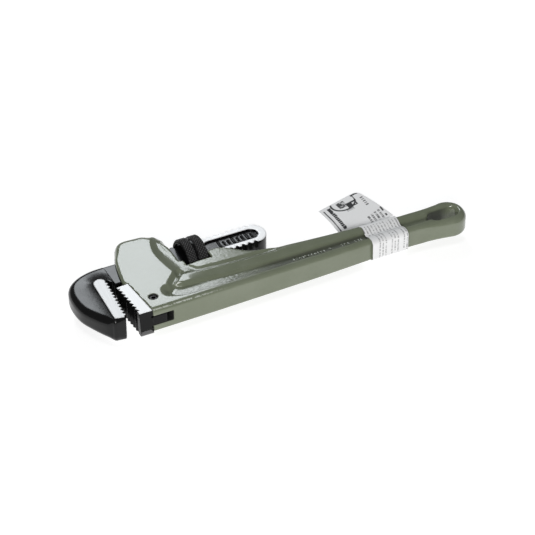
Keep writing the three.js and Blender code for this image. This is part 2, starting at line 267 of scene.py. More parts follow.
def buildCastSkin():    # fine orange-peel of paint over a sand casting: a height, and a broad stain mask
    group, source, sink = newGroup("castSkin", [("Peel size", 700.0), ("Sand size", 260.0)], ["Height", "Stain"])
    place = node(group, "ShaderNodeTexCoord")
    peel = node(group, "ShaderNodeTexNoise", {"Detail": 2.0, "Roughness": 0.5})
    sand = node(group, "ShaderNodeTexNoise", {"Detail": 4.0, "Roughness": 0.6})
    stain = node(group, "ShaderNodeTexNoise", {"Scale": 45.0, "Detail": 5.0, "Roughness": 0.62})
    for item in (peel, sand, stain):
        group.links.new(place.outputs["Object"], item.inputs["Vector"])
    group.links.new(source.outputs["Peel size"], peel.inputs["Scale"])
    group.links.new(source.outputs["Sand size"], sand.inputs["Scale"])
    mixed = mathNode(group, "MULTIPLY_ADD", sand.outputs["Fac"], 1.6, peel.outputs["Fac"])
    group.links.new(mixed, sink.inputs["Height"])
    group.links.new(rangeNode(group, stain.outputs["Fac"], 0.35, 0.7), sink.inputs["Stain"])
    return group


def buildEdgeWear():    # bright worn metal where an edge is exposed, broken up by noise
    group, source, sink = newGroup("edgeWear", [("Low", 0.53), ("High", 0.6)], ["Mask"])
    place = node(group, "ShaderNodeTexCoord")
    shape = node(group, "ShaderNodeNewGeometry")
    noise = node(group, "ShaderNodeTexNoise", {"Scale": 420.0, "Detail": 4.0, "Roughness": 0.7})
    group.links.new(place.outputs["Object"], noise.inputs["Vector"])
    wide = mathNode(group, "SUBTRACT", source.outputs["High"], source.outputs["Low"])
    over = mathNode(group, "SUBTRACT", shape.outputs["Pointiness"], source.outputs["Low"])
    edge = mathNode(group, "DIVIDE", over, wide)
    broken = mathNode(group, "MULTIPLY", edge, rangeNode(group, noise.outputs["Fac"], 0.45, 0.62))
    clamp = node(group, "ShaderNodeClamp")
    group.links.new(broken, clamp.inputs["Value"])
    group.links.new(clamp.outputs[0], sink.inputs["Mask"])
    return group


def buildGrinding():    # straight scratches of a grinding wheel, across the jaws: a height and a streak mask
    group, source, sink = newGroup("grinding", [("Turn", 0.0), ("Fineness", 1800.0)], ["Height", "Streaks"])
    place = node(group, "ShaderNodeTexCoord")
    turned = node(group, "ShaderNodeVectorRotate", rotation_type="Z_AXIS")
    group.links.new(place.outputs["Object"], turned.inputs["Vector"])
    group.links.new(source.outputs["Turn"], turned.inputs["Angle"])
    stretched = node(group, "ShaderNodeVectorMath", operation="MULTIPLY")
    stretched.inputs[1].default_value = (1.0, 0.03, 1.0)
    group.links.new(turned.outputs[0], stretched.inputs[0])
    scratches = node(group, "ShaderNodeTexNoise", {"Detail": 3.0, "Roughness": 0.65})
    group.links.new(stretched.outputs[0], scratches.inputs["Vector"])
    group.links.new(source.outputs["Fineness"], scratches.inputs["Scale"])
    group.links.new(scratches.outputs["Fac"], sink.inputs["Height"])
    group.links.new(rangeNode(group, scratches.outputs["Fac"], 0.3, 0.7), sink.inputs["Streaks"])
    return group


castSkin, edgeWear, grinding = buildCastSkin(), buildEdgeWear(), buildGrinding()


def newMaterial(name, values):
    material = bpy.data.materials.new(name)
    material.use_nodes = True
    tree = material.node_tree
    shader = tree.nodes["Principled BSDF"]
    for key, value in values.items():
        shader.inputs[key].default_value = value
    return material, tree, shader


def useGroup(tree, group, values=()):
    made = tree.nodes.new("ShaderNodeGroup")
    made.node_tree = group
    for key, value in dict(values).items():
        made.inputs[key].default_value = value
    return made


def mixColour(tree, mask, a, b):
    made = node(tree, "ShaderNodeMix", data_type="RGBA")
    tree.links.new(mask, made.inputs[0])
    for socket, value in ((made.inputs[6], a), (made.inputs[7], b)):
        if hasattr(value, "links"):
            tree.links.new(value, socket)
        else:
            socket.default_value = value
    return made.outputs[2]


def mixValue(tree, mask, a, b):
    made = node(tree, "ShaderNodeMix", {2: 0.0, 3: 1.0}, data_type="FLOAT")
    tree.links.new(mask, made.inputs[0])
    for socket, value in ((made.inputs[2], a), (made.inputs[3], b)):
        if hasattr(value, "links"):
            tree.links.new(value, socket)
        else:
            socket.default_value = value
    return made.outputs[0]


def bump(tree, height, strength, distance):
    made = node(tree, "ShaderNodeBump", {"Strength": strength, "Distance": distance})
    tree.links.new(height, made.inputs["Height"])
    return made.outputs["Normal"]


def groundMask(tree, lowZ, fromX=None):    # 1 on the faces ground flat, both sides, and past a place along X
    place = node(tree, "ShaderNodeTexCoord")
    axes = node(tree, "ShaderNodeSeparateXYZ")
    tree.links.new(place.outputs["Object"], axes.inputs[0])
    middle = shift[2] / 1000
    away = mathNode(tree, "ABSOLUTE", mathNode(tree, "SUBTRACT", axes.outputs["Z"], middle))
    soft = 0.00006
    mask = rangeNode(tree, away, lowZ / 1000 - soft, lowZ / 1000 + soft)
    if fromX is None:
        return mask
    begin, soft = (fromX + shift[0]) / 1000, 0.0003
    return mathNode(tree, "MULTIPLY", mask, rangeNode(tree, axes.outputs["X"], begin - soft, begin + soft))


paint = {
    "colour": (0.175, 0.196, 0.137, 1),
    "thin": (0.26, 0.28, 0.235, 1),      # where the paint is thin over bright specks
    "deep": (0.155, 0.176, 0.118, 1),
    "bare": (0.66, 0.69, 0.64, 1),       # painted highlight: the bright specks along the head's corner and on the tops of the marks
    "paintedShade": (0.012, 0.013, 0.011, 1),   # painted shade in the hollows
    "roughness": (0.18, 0.22), "paintedShadeRoughness": 0.75, "coat": 0.35,
    "smoothFrom": 7.45,                  # the ground faces of the head are smoother under the paint
    "bump": (0.03, 0.1, 0.6),            # on those faces, elsewhere, and where the sand casting shows
}


def greenPaint():
    values = {"Specular IOR Level": 0.5, "Coat Roughness": 0.1, "Metallic": 0.0}
    material, tree, shader = newMaterial("greenPaint", values)
    skinNode = useGroup(tree, castSkin)
    wear = useGroup(tree, edgeWear, {"Low": 0.535, "High": 0.62})
    colour = mixColour(tree, skinNode.outputs["Stain"], paint["deep"], paint["colour"])
    colour = mixColour(tree, mathNode(tree, "MULTIPLY", wear.outputs["Mask"], 0.55), colour, paint["thin"])
    # painted shade: the hollows are mixed towards near black, made rougher and lose their coat
    paintedShade = node(tree, "ShaderNodeAttribute", attribute_name="paintedShade")
    colour = mixColour(tree, paintedShade.outputs["Fac"], colour, paint["paintedShade"])
    # painted highlight: bright specks where this attribute is set, along the head's corner and on the tops of the
    # marks
    wearAndHighlight = node(tree, "ShaderNodeAttribute", attribute_name="wearAndHighlight")
    place = node(tree, "ShaderNodeTexCoord")
    fine = node(tree, "ShaderNodeTexNoise", {"Scale": 1100.0, "Detail": 2.0})
    tree.links.new(place.outputs["Object"], fine.inputs["Vector"])
    rubbedAndHighlight = mathNode(tree, "MULTIPLY", wearAndHighlight.outputs["Fac"], rangeNode(tree, fine.outputs["Fac"], 0.38, 0.6))
    colour = mixColour(tree, rubbedAndHighlight, colour, paint["bare"])
    unshaded = mathNode(tree, "SUBTRACT", 1.0, paintedShade.outputs["Fac"])
    tree.links.new(mathNode(tree, "MULTIPLY", unshaded, paint["coat"]), shader.inputs["Coat Weight"])
    tree.links.new(colour, shader.inputs["Base Color"])
    rough = mixValue(tree, skinNode.outputs["Stain"], *paint["roughness"])
    rough = mixValue(tree, paintedShade.outputs["Fac"], rough, paint["paintedShadeRoughness"])
    tree.links.new(rough, shader.inputs["Roughness"])
    face = groundMask(tree, paint["smoothFrom"])
    made = node(tree, "ShaderNodeBump", {"Distance": 0.00022})
    tree.links.new(skinNode.outputs["Height"], made.inputs["Height"])
    sand = node(tree, "ShaderNodeAttribute", attribute_name="sand")
    onFace, plain, sanded = paint["bump"]
    strength = mixValue(tree, sand.outputs["Fac"], plain, sanded)
    tree.links.new(mixValue(tree, face, strength, onFace), made.inputs["Strength"])
    tree.links.new(made.outputs["Normal"], shader.inputs["Normal"])
    return material


black = {
    "colour": (0.004, 0.004, 0.0042, 1),
    "wearAndHighlight": (0.06, 0.06, 0.06, 1),
    "ground": (0.6, 0.6, 0.6, 1),
    "groundDark": (0.55, 0.55, 0.55, 1),
    "white": (0.97, 0.97, 0.97, 1),
}


def blackSteel(name, masks, turn=0.0, gloss=0.3):
    material, tree, shader = newMaterial(name, {"Specular IOR Level": gloss, "Coat Weight": 0.0})
    skinNode = useGroup(tree, castSkin, {"Peel size": 500.0, "Sand size": 190.0})
    wear = useGroup(tree, edgeWear, {"Low": 0.55, "High": 0.68})
    grind = useGroup(tree, grinding, {"Turn": turn})
    mask = None
    edge = mathNode(tree, "MULTIPLY", wear.outputs["Mask"], 0.6)
    colour = mixColour(tree, edge, black["colour"], black["wearAndHighlight"])
    bright = mixColour(tree, grind.outputs["Streaks"], black["groundDark"], black["ground"])
    for lowZ, fromX, whiter in masks:
        one = groundMask(tree, lowZ, fromX)
        mask = one if mask is None else mathNode(tree, "MAXIMUM", mask, one)
        bright = mixColour(tree, mathNode(tree, "MULTIPLY", one, whiter), bright, black["white"])
    if mask is None:    # the nut: the tops of its knurls are rubbed
        rubbedAndHighlight = node(tree, "ShaderNodeAttribute", attribute_name="polish")
        mask = mathNode(tree, "MULTIPLY", rubbedAndHighlight.outputs["Fac"], 0.1)
    tree.links.new(mixColour(tree, mask, colour, bright), shader.inputs["Base Color"])
    rough = mixValue(tree, skinNode.outputs["Stain"], 0.15, 0.24)
    tree.links.new(mixValue(tree, mask, rough, 0.42), shader.inputs["Roughness"])
    tree.links.new(mathNode(tree, "MULTIPLY", mask, 0.3), shader.inputs["Metallic"])
    normal = bump(tree, skinNode.outputs["Height"], 0.25, 0.00008)
    scratched = bump(tree, grind.outputs["Height"], 0.12, 0.00004)
    mixed = node(tree, "ShaderNodeMix", data_type="VECTOR")
    tree.links.new(mask, mixed.inputs[0])
    tree.links.new(normal, mixed.inputs[4])
    tree.links.new(scratched, mixed.inputs[5])
    tree.links.new(mixed.outputs[1], shader.inputs["Normal"])
    return material


# the last number darkens the heel jaw's pin: painted shade standing for the shadow in its hole
spring = {"dark": (0.2, 0.2, 0.205), "light": (0.36, 0.36, 0.36), "pinPaintedShade": 0.12}


def springSteel(shade):
    material, tree, shader = newMaterial("springSteel", {"Metallic": 1.0})
    grind = useGroup(tree, grinding, {"Fineness": 2600.0})
    dark, light = (tuple(v * shade for v in spring[k]) + (1,) for k in ("dark", "light"))
    tree.links.new(mixColour(tree, grind.outputs["Streaks"], dark, light), shader.inputs["Base Color"])
    tree.links.new(mixValue(tree, grind.outputs["Streaks"], 0.32, 0.45), shader.inputs["Roughness"])
    tree.links.new(bump(tree, grind.outputs["Height"], 0.2, 0.00004), shader.inputs["Normal"])
    return material


# ---- handle casting

handle = {
    "step": 0.6,
    "face": [(-1.6, 24), (-3.6, 30), (-2.8, 36), (-1.6, 42.4), (-0.3, 48), (1.3, 53), (3.4, 57.6), (6.4, 62),
             (10.5, 64.3), (18, 64.1), (27.7, 63.2), (31.6, 61.6), (33, 57)],
    "far": [(62, 34.6), (66.3, 30.8), (72.6, 25.7), (81, 22.8), (96, 20.2), (121, 18.2), (143, 17),
            (167, 15.9), (182, 15.9)],
    "near": [(182, 1.9), (168, 2.7), (143, 2.4), (111, 1.4), (66, 0.8), (8, 0.2)],
    "shelf": [(26, 21.9), (33, 21.6), (42, 20.1), (55, 19.2), (66, 18.6), (87, 18.1), (100, 20.5), (112, 30),
              (112, 90), (31, 90), (31, 66), (27.7, 63), (26.1, 60), (24.5, 56), (23.1, 50.7), (22.7, 45.5),
              (23, 40), (24.1, 33)],
    "panel": [(26, 15.4), (20, 17.4), (15.4, 17.6), (12.3, 15.2), (11.3, 11.6), (12.2, 7.6), (17, 5.0),
              (26, 3.9), (51, 3.7), (110, 4.4), (143, 5.2), (172, 5.2), (188, 5.2)],
    "panelFar": [(188, 11.4), (172, 12.3), (143, 12.8), (110, 12.6), (80, 12.6), (51, 13.1)],
    "crest": ([26, 33, 42, 55, 66, 87, 110, 143, 182], [21.9, 21.6, 20.1, 19.2, 18.6, 18.1, 16.9, 15.4, 14.6]),
    "railTilt": 0.2,       # the far flange leans towards the mouth side
    "headRound": 4.6, "faceRound": 1.0, "sideRound": 1.5,
    "shelfHalf": (6.7, 7.3), "shelfRise": (33, 45),    # level beside the window, and below it
    "webHalf": (4.7, 3.7), "webFall": (50, 105),
    "link": ((29.0, 26.0), (21.0, 17.5), 3.4, 1.6),    # the hollow between the face and the far flange's end
    "cove": (5.2, 0.75),   # width and depth of the hollow beside the face
    "coveWiden": (5.6, 61, 38),    # by how much it widens, between two places along Y
    "valley": (4.4, 1.0),  # and of the one between the far flange and the shelf
    "wallRun": 1.6, "scoopRun": 7.0,    # how far the walls of the panel lean, and its end at the head
    "front": -5.0,         # the flat front of the head
    "groove": ((-20, -10, -3.25), (12.9, 27, 3.25)),             # for the heel jaw's tongue
    "passage": ((-20, 31.9, -5.5), (90, 54.4, 5.5)),             # for the shank
    "passageEnd": ((51, 31.9, -5.5), (90, 90, 5.5)),
    "window": {"low": 31.0, "ring": 14.0, "middle": 44.0, "half": 8.0},    # for the nut
    "slot": (190.3, 200.2, 8.2, 4.8),                            # start, end, middle and radius
}
handleRing = {
    "head": outline(curve(handle["face"]), [(33, 57), (33, 22), (14, 16), (1, 16)]),
    "bar": outline(arc(bench["tailX"], 8.3, 9.45, 109, -109), curve(handle["near"], 4),
                   [(8, 0.2), (-1, 0.2), (-1, 26), (30, 34), (53, 36), (57.5, 36.4)], curve(handle["far"])),
    "shelf": outline(handle["shelf"]),
    "panel": outline(curve(handle["panel"], 5), curve(handle["panelFar"], 3), [(51, 13.1), (38, 14.4)]),
    "seat": outline([(-30, -30), (0.35, -30), (0.35, -1), (-2.2, 28.6), (-30, 28.6)]),
}


def pinHole(x, y):
    pinX, pinY, r = bench["pin"]
    return np.hypot(x - pinX, y - pinY) - r


def handleHalf(x):
    run = (bench["headHalf"] - bench["tailHalf"]) / (bench["tailX"] - bench["taperStart"])
    return bench["headHalf"] - run * np.maximum(x - bench["taperStart"], 0)


def handleWeb(x):
    (high, low), (begin, end) = handle["webHalf"], handle["webFall"]
    return high + (low - high) * smooth((x - begin) / (end - begin))


def handleTop(x, y):    # height of the casting's face over the plan
    top = handleHalf(x)
    crestY = np.interp(x, *handle["crest"])
    lean = handle["railTilt"] * np.clip(crestY - y, 0, 7) * smooth((x - 30) / 14) * smooth((y - 8.5) / 2)
    top = top - lean * smooth((205 - x) / 25)
    shelfIn = -planDistance(x, y, handleRing["shelf"])
    coveShare = smooth((y - 21) / 7) * smooth((42 - x) / 8)
    width, depth = (v + (c - v) * coveShare for c, v in zip(handle["cove"], handle["valley"]))
    more, high, low = handle["coveWiden"]
    width = width + more * coveShare * smooth((high - y) / (high - low))
    run = np.clip(shelfIn / width, 0, 1)
    ends = smooth((100 - x) / 20)
    (low, high), (begin, end) = handle["shelfHalf"], handle["shelfRise"]
    shelf = np.minimum(low + (high - low) * smooth((x - begin) / (end - begin)), top)
    top = top + (shelf - top) * smooth(run) - depth * ends * np.sin(math.pi * run)
    (ax, ay), (bx, by), reach, deep = handle["link"]
    t = np.clip(((x - ax) * (bx - ax) + (y - ay) * (by - ay)) / ((bx - ax) ** 2 + (by - ay) ** 2), 0, 1)
    top = top - deep * smooth(1 - np.hypot(x - ax - (bx - ax) * t, y - ay - (by - ay) * t) / reach)
    panelIn = -planDistance(x, y, handleRing["panel"])
    web = handleWeb(x)
    wall = handle["wallRun"] + handle["scoopRun"] * smooth((23 - x) / 9)
    return top + (np.minimum(web, top) - top) * smooth((panelIn + 0.4) / wall)


def handleField(x, y, z):
    farCorner = smooth((y - 53) / 14) * smooth((x + 2) / 14)
    swell = handle["faceRound"] + (handle["headRound"] - handle["faceRound"]) * farCorner
    plan = blendMin(planDistance(x, y, handleRing["head"]) - swell,
                    planDistance(x, y, handleRing["bar"]) - handle["sideRound"], 3.0)
    nearSide = smooth((14 - y) / 8)
    radius = 2.0 + 2.6 * smooth((y - 50) / 14) * smooth((44 - x) / 6) + 1.0 * smooth((x - 176) / 14)
    radius = radius + 2.6 * smooth((y - 50) / 9) * smooth((x - 22) / 6) * smooth((46 - x) / 6)
    radius = radius + nearSide * np.where(z > 0, 1.2 - 0.3 * smooth((x - 10) / 50), -0.8)
    body = edgeRound(plan, np.abs(z) - handleTop(x, y), radius)
    body = blendMax(body, handle["front"] - x, 1.2)
    body = blendMax(body, -planDistance(x, y, handleRing["seat"]), 0.5)            # seat of the heel jaw
    body = blendMax(body, -boxDistance(x, y, z, *handle["groove"]), 0.4)
    body = blendMax(body, -pinHole(x, y), 0.6)
    body = blendMax(body, -boxDistance(x, y, z, *handle["passage"]), 0.6)
    body = blendMax(body, -boxDistance(x, y, z, *handle["passageEnd"]), 0.6)
    w = handle["window"]
    ring = np.hypot(y - bench["axisY"], z) - w["ring"]
    window = np.maximum(np.minimum(w["low"] - y, ring), np.abs(x - w["middle"]) - w["half"])
    body = blendMax(body, -window, 1.0)
    return blendMax(body, -slotDistance(x, y, *handle["slot"]), 2.2)


def handlePaintedShade(x, y, z):    # painted shade: 1 in the hollows, less in the hanging slot and the panel
    groove = (x < 13.1) & (np.abs(z) < 3.45) & (y < 27.6)
    hole = pinHole(x, y) < 0.35
    passage = (y > 31.6) & (y < 54.8) & (np.abs(z) < 5.7) & (x < 91)
    down = handleHalf(x) - np.abs(z)
    slot = smooth((0.6 - slotDistance(x, y, *handle["slot"])) / 0.8) * smooth((203 - x) / 8)
    slot = slot * smooth((down - 0.6) / 1.5) * 0.92
    panel = smooth((x - 62) / 25) * smooth((172 - x) / 12) * smooth((y - 4) / 2) * smooth((14 - y) / 2)
    panel = panel * smooth((down - 1.6) / 1.4) * 0.5
    return np.maximum(groove | hole | passage, np.maximum(slot, panel))


def handlePaintedHighlight(x, y, z):    # painted highlight: a speckled bright line along the corner on the mouth side of the head
    line = smooth(1.2 - np.hypot(y + 0.1, z - 6.9) / 0.6)
    return 0.75 * line * smooth((52 - x) / 30) * (x > 0.5)


def handleSand(x, y, z):    # 1 where the casting is rough: round the window, and in the panel near the head
    window = smooth((68 - x) / 12) * smooth((x - 24) / 6) * smooth((y - 20) / 4)
    panel = smooth((80 - x) / 20) * smooth((x - 15) / 6) * smooth((y - 3.5) / 2) * smooth((15 - y) / 2)
    corner = 0.6 * smooth((40 - x) / 20) * smooth((2.5 - y) / 1.5)
    return np.maximum(np.maximum(window, panel), corner) * smooth((np.abs(z) - 3.5) / 1.5)


def makeHandle():
    points, faces = skin(handleField, (-7, -3.5, -8.7), (212.5, 71, 8.7), handle["step"])
    item = makePiece("castHandle", points, faces, "handle", ["handle_frame"], crease=50)
    for name, amount in (("paintedShade", handlePaintedShade), ("wearAndHighlight", handlePaintedHighlight), ("sand", handleSand)):
        paintPoints(item, name, amount(*points.T))
    item.data.materials.append(greenPaint())
    print("handle", len(faces), "quads")


# ---- raised marks cast on the web, plain strokes in place of lettering

marks = {
    "places": [(68, 88, 0.12), (95, 121, 0.5), (127, 133, 0.5), (136, 142, 0.5)],    # start, end and rise
    "pitch": 2.0, "y": 9.2, "tall": 1.35, "half": 0.34, "deep": 0.8, "skipped": 0.1, "around": 20, "up": 8,
    "strokes": [(0, 0, 0.0, 1.0), (0, 0, 1.35, 0.9), (0, 0.75, 1.57, 0.6), (0, -0.75, 1.57, 0.6),
                (0.4, 0, 0.35, 0.9), (-0.4, 0, -0.35, 0.9)],    # offset along X and Y, turn and length
}


def makeMarks():    # each stroke is a rounded bar: rings of a super-ellipse that close to a point at each end
    m = marks
    rng = np.random.default_rng(5)
    n, rows = m["around"], m["up"]
    turn = np.linspace(0, 2 * math.pi, n, endpoint=False)
    up = np.linspace(-1, 1, rows + 2)[1:-1, None]
    shrink = (1 - np.abs(up) ** 3) ** (1 / 3)
    along = np.sign(np.cos(turn)) * np.abs(np.cos(turn)) ** 0.6 * m["tall"] * shrink
    across = np.sign(np.sin(turn)) * np.abs(np.sin(turn)) ** 0.7 * m["half"] * shrink
    here = np.arange(n)
    after, last, low, high = (here + 1) % n, (rows - 1) * n, np.full(n, rows * n), np.full(n, rows * n + 1)
    sides = gridFaces(rows, n, wrapColumns=True)
    ends = np.vstack([np.stack([after, here, low], 1), np.stack([last + here, last + after, high], 1)])
    points, faces = [], []
    for start, end, rise in m["places"]:
        for x in np.arange(start, end, m["pitch"]):
            if rng.random() < m["skipped"]:
                continue
            for dx, dy, angle, size in (m["strokes"][k] for k in rng.choice(len(m["strokes"]), 2, replace=False)):
                px = x + dx + across * math.cos(angle) - along * size * math.sin(angle)
                py = m["y"] + dy + across * math.sin(angle) + along * size * math.cos(angle)
                half = handleWeb(x) + rise
                for side in (1, -1):
                    pz = side * (half - m["deep"] + m["deep"] * up) + 0 * px
                    poles = [[x + dx, m["y"] + dy, side * (half - sunk)] for sunk in (2 * m["deep"], 0)]
                    base = len(points) * (rows * n + 2)
                    points.append(np.vstack([np.stack([px, py, pz], 2).reshape(-1, 3), poles]))
                    for part in (sides, ends):
                        faces.extend(((part if side < 0 else part[:, ::-1]) + base).tolist())
    points = np.vstack(points)
    item = makePiece("castMarks", points, faces, "handle", crease=60)
    # the tops of the marks get the painted highlight
    paintPoints(item, "wearAndHighlight", smooth((np.abs(points[:, 2]) - handleWeb(points[:, 0]) - 0.1) / 0.25))
    item.data.materials.append(bpy.data.materials["greenPaint"])
    print("marks", len(faces), "faces")


# ---- jaws

hook = {
    "step": 0.45,
    "outer": [(1, 50.4), (-8, 50.5), (-17, 49.9), (-25.5, 46.8), (-31.1, 41.4), (-33.4, 33), (-32.9, 22),
              (-29.2, 12.5), (-24.9, 5), (-21.0, 1.2)],
    "pad": [(-15.2, 0.2), (-21.6, 1.6), (-21.7, 5), (-20.2, 35.5)],
    "padEnd": [(-20.2, 35.5), (-19.2, 37.9), (-16.3, 39.2), (-13.6, 38), (-12.4, 34.5)],
    "plateHalf": 6.2, "padHalf": 7.75, "rise": 1.35, "dish": 12.5, "bulge": 2.4, "edge": 3.9,
    "tip": (-16.2, 1.6), "toothPitch": 3.05, "teeth": 11, "toothDepth": 1.5, "throatX": -13.6,
    "thickEnd": -7.7, "draft": 0.08,    # where the plate ends, and how the tip leans
}
shank = {"half": 5.2, "crest": 9.2, "depth": 2.0, "root": 8.85, "corner": 10.4, "pitch": 4.0, "start": 3.0,
         "end": 92.8, "lastGroove": (85.0, 87.0), "groundFrom": 54.0, "slotStart": 58.0, "slotRadius": 4.8,
         "slotDeep": 1.4, "marks": (61.0, 85.0), "markPitch": 3.0, "markHalf": 0.38, "markLong": (2.7, 1.5),
         "markRise": 0.45}


def toothRow(a, b, count, depth, lean):    # teeth along a line: each has a root, a leaning flank and a narrow tip
    a, b = np.array(a, float), np.array(b, float)
    along = (b - a) / count
    out = np.array([-along[1], along[0]]) / np.hypot(*along) * depth
    start = a + along * np.arange(count)[:, None]
    row = np.stack([start, start + along * lean + out, start + along * (lean + 0.1) + out], 1).reshape(-1, 2)
    return np.vstack([row, b])


mouthTop = (hook["throatX"], hook["tip"][1] + hook["toothPitch"] * hook["teeth"])
hookRing = {
    "outer": outline(curve(hook["outer"]), [(-21.5, 1.2), (-12, 1.2), (-8, 20), (-7, 35.6), (1, 35.6)]),
    "pad": outline(hook["pad"], curve(hook["padEnd"], 4), [(-12.4, 34.5), (-5, 30), (-5, 0.2)]),
    "mouth": outline([(-16.2, -20)], toothRow(hook["tip"], mouthTop, hook["teeth"], -hook["toothDepth"], 0.3),
                     [(-11.6, 36.4), (-9.4, 33.9), (6, 33.9), (6, -20)]),
}


def shankField(x, y, z):
    s = shank
    across = y - bench["axisY"]
    side = np.sign(across)
    lean = side * s["pitch"] / (2 * math.pi * s["crest"]) * z
    place = np.mod(x - lean - s["start"] - np.where(side > 0, 0, s["pitch"] / 2), s["pitch"])
    groove = np.clip(np.minimum(place - 0.6, 3.4 - place) / 0.9, 0, 1)
    groove = groove * (x > s["start"]) * (x < np.where(side > 0, s["lastGroove"][1], s["lastGroove"][0]))
    edge = np.maximum(s["crest"] - s["depth"] * groove, np.sqrt(np.maximum(s["root"] ** 2 - z ** 2, 0)))
    sides = (np.abs(across) - np.minimum(edge, s["crest"])) * 0.75
    end = slotDistance(x, y, -30.0, s["end"] - s["crest"], bench["axisY"], s["crest"])
    plan = np.maximum(np.maximum(sides, end), -8.0 - x)
    body = edgeRound(plan, np.abs(z) - s["half"], 0.25)
    body = blendMax(body, np.hypot(across, z) - s["corner"], 0.8)
    slot = slotDistance(x, y, s["slotStart"], s["end"] - s["crest"] - 0.4, bench["axisY"], s["slotRadius"])
    floor = s["half"] - s["slotDeep"] + shankMarks(x, y)
    recess = np.maximum(slot, floor - np.abs(z))
    return blendMax(body, -recess, 0.5)


def shankMarks(x, y):    # raised graduation marks in the recess: long and short bars across it
    begin, end = shank["marks"]
    place = (x - begin) / shank["markPitch"]
    which = np.floor(place)
    across = np.abs((place - which - 0.5) * shank["markPitch"]) - shank["markHalf"]
    along = np.abs(y - bench["axisY"]) - np.where(np.mod(which, 3) == 0, *shank["markLong"])
    bars = smooth(0.5 - np.maximum(across, along) / 0.6)
    return shank["markRise"] * np.where((x > begin) & (x < end), bars, 0)


def hookField(x, y, z):
    h = hook
    padOut = planDistance(x, y, hookRing["pad"])
    top = h["plateHalf"] + h["rise"] * np.clip(1 - padOut / h["dish"], 0, 1) ** 2
    top = top + (shank["half"] - top) * smooth((x + 8.4) / 0.6)    # the back sinks to the shank's face
    top = top + (h["padHalf"] - top) * smooth(0.5 - padOut / 0.5)
    plan = planDistance(x, y, hookRing["outer"]) - h["bulge"]
    head = edgeRound(plan, np.abs(z) - top, h["edge"] * smooth((padOut + 1.0) / 5.0) + 0.2)
    head = blendMax(head, -0.8 - y + h["draft"] * (z - h["padHalf"]), 0.6)
    head = np.maximum(head, x - h["thickEnd"])
    head = blendMax(head, -planDistance(x, y, hookRing["mouth"]), 0.3)
    return np.minimum(head, shankField(x, y, z))


def makeHook():
    points, faces = skin(hookField, (-37.5, -2, -8.5), (93.2, 53.6, 8.5), hook["step"])
    item = makePiece("hookJaw", points, faces, "hook_jaw", ["hook_jaw"], crease=40)
    ground = [(hook["padHalf"] - 0.12, None, 0.0), (shank["half"] - 0.18, shank["groundFrom"], 0.75)]
    item.data.materials.append(blackSteel("hookSteel", ground, turn=0.1))
    print("hook jaw", len(faces), "quads")


heel = {"step": 0.33, "half": 7.75, "near": -1.2, "flat": 3.4, "pitch": 3.3, "teeth": 7, "depth": 1.5,
        "rootX": (-6.7, -8.2), "tongue": 2.9, "tongueEnd": (8.8, 24), "draft": 0.08}


def heelRing():
    start = heel["near"] + heel["flat"]
    fromX, toX = heel["rootX"]
    end = start + heel["pitch"] * heel["teeth"]
    row = toothRow((fromX, start), (toX, end), heel["teeth"], heel["depth"], 0.7)
    return outline([(-2.4, 27.9), (0.05, heel["near"]), (-8.1, heel["near"]), (-8.1, start - 0.01)], row,
                   [(-9.7, 25.6), (-9.8, 27.2)])


def heelField(x, y, z):
    drafted = y + heel["draft"] * (heel["half"] - z) * smooth((6 - y) / 6)
    body = edgeRound(planDistance(x, drafted, heelPlan), np.abs(z) - heel["half"], 0.3)
    plan = boxDistance(x, y, 0 * z, (-3, heel["near"], -1), (*heel["tongueEnd"], 1))
    tongue = edgeRound(plan, np.abs(z) - heel["tongue"], 0.3)
    notch = boxDistance(x, y, np.abs(z), (-1.0, -5, heel["tongue"]), (3, 40, heel["tongue"] + 0.9))
    body = np.minimum(blendMax(body, -notch, 0.3), tongue)
    return blendMax(body, -pinHole(x, y), 0.3)


heelPlan = heelRing()


def makeHeel():
    points, faces = skin(heelField, (-10.6, -2.2, -8.3), (9.6, 28.8, 8.3), heel["step"])
    item = makePiece("heelJaw", points, faces, "handle", ["heel_jaw"], crease=35)
    item.data.materials.append(blackSteel("heelSteel", [(heel["half"] - 0.12, None, 0.3)], turn=0.05, gloss=0.2))
    print("heel jaw", len(faces), "quads")


# ---- adjusting nut: one closed skin round the ring, as a grid of angle and place along the section

nut = {"around": 600, "columns": (97, 4, 66),    # points round the nut, and along its outside, ends and inside
       "start": 38.0, "end": 51.0, "radius": 13.0, "groove": 12.0, "grooveHalf": 0.75, "bore": 9.25,
       "root": 10.9, "chamfer": 0.8, "knurl": 0.75, "knurlCount": 42, "slant": 1.05, "pitch": 4.0, "phase": 5.0,
       "ridgeTip": 0.5, "ridgeBase": 2.4, "lip": 0.8}


